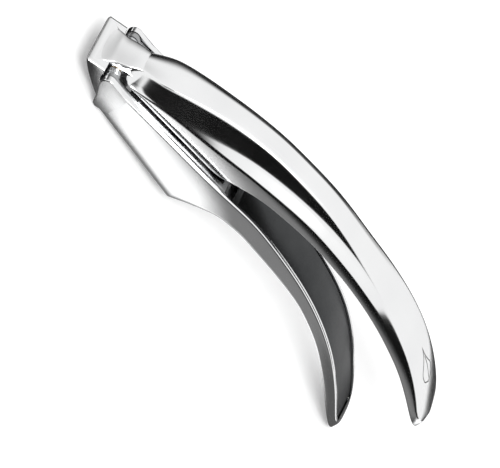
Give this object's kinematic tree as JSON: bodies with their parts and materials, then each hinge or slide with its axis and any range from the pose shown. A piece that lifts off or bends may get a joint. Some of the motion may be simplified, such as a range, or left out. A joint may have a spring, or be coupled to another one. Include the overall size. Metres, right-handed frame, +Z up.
{
  "type": "garlic press",
  "caption": "Hand-held garlic press: two curved levers on a hinge pin, a swinging sieve basket and a pinned plunger.",
  "frame": {"origin": "the middle of the underside of the press's box, as it stands closed on the hopper's front edge and the lower handle's tip", "axes": "+X from the hinge end to the handle ends, +Y across the press along the hinge pin, +Z up from the surface it stands on, towards the upper lever"},
  "size_m": [0.1998, 0.0328, 0.0602],
  "materials": {
    "polished_chrome": "mirror-polished chrome over a casting",
    "satin_chrome": "satin dark chrome",
    "stainless_steel": "fine-turned stainless steel",
    "cast_steel": "tumbled cast steel",
    "bronze": "plain bronze bush"
  },
  "bodies": {
    "lower_lever": {"lower_lever": "polished_chrome", "lower_handle_insert": "satin_chrome", "hinge_pin": "stainless_steel", "hinge_pin_cap": "stainless_steel", "near_hinge_spacer": "stainless_steel", "far_hinge_spacer": "stainless_steel"},
    "upper_lever": {"upper_lever": "polished_chrome", "upper_handle_insert": "satin_chrome", "hinge_bush": "bronze", "plunger_pin": "stainless_steel"},
    "plunger": {"plunger": "cast_steel", "plunger_bush": "bronze"},
    "basket": {"sieve_basket": "cast_steel", "sieve_plate": "stainless_steel"}
  },
  "joints": [
    {"name": "handle_hinge", "type": "hinge", "parent": "lower_lever", "child": "upper_lever", "pos_m": [-0.08759, 0, 0.01081], "axis": [0, -1, 0], "range_deg": [0, 115]},
    {"name": "basket_swing", "type": "hinge", "parent": "lower_lever", "child": "basket", "pos_m": [-0.08759, 0, 0.01081], "axis": [0, -1, 0], "range_deg": [0, 70]},
    {"name": "plunger_tilt", "type": "hinge", "parent": "upper_lever", "child": "plunger", "pos_m": [-0.05449, 0, 0.02576], "axis": [0, -1, 0], "range_deg": [-9, 0]}
  ],
  "couplings": [
    {"joint": "basket_swing", "follows": "handle_hinge", "ratio": 0.6},
    {"joint": "plunger_tilt", "follows": "handle_hinge", "ratio": -0.07}
  ]
}
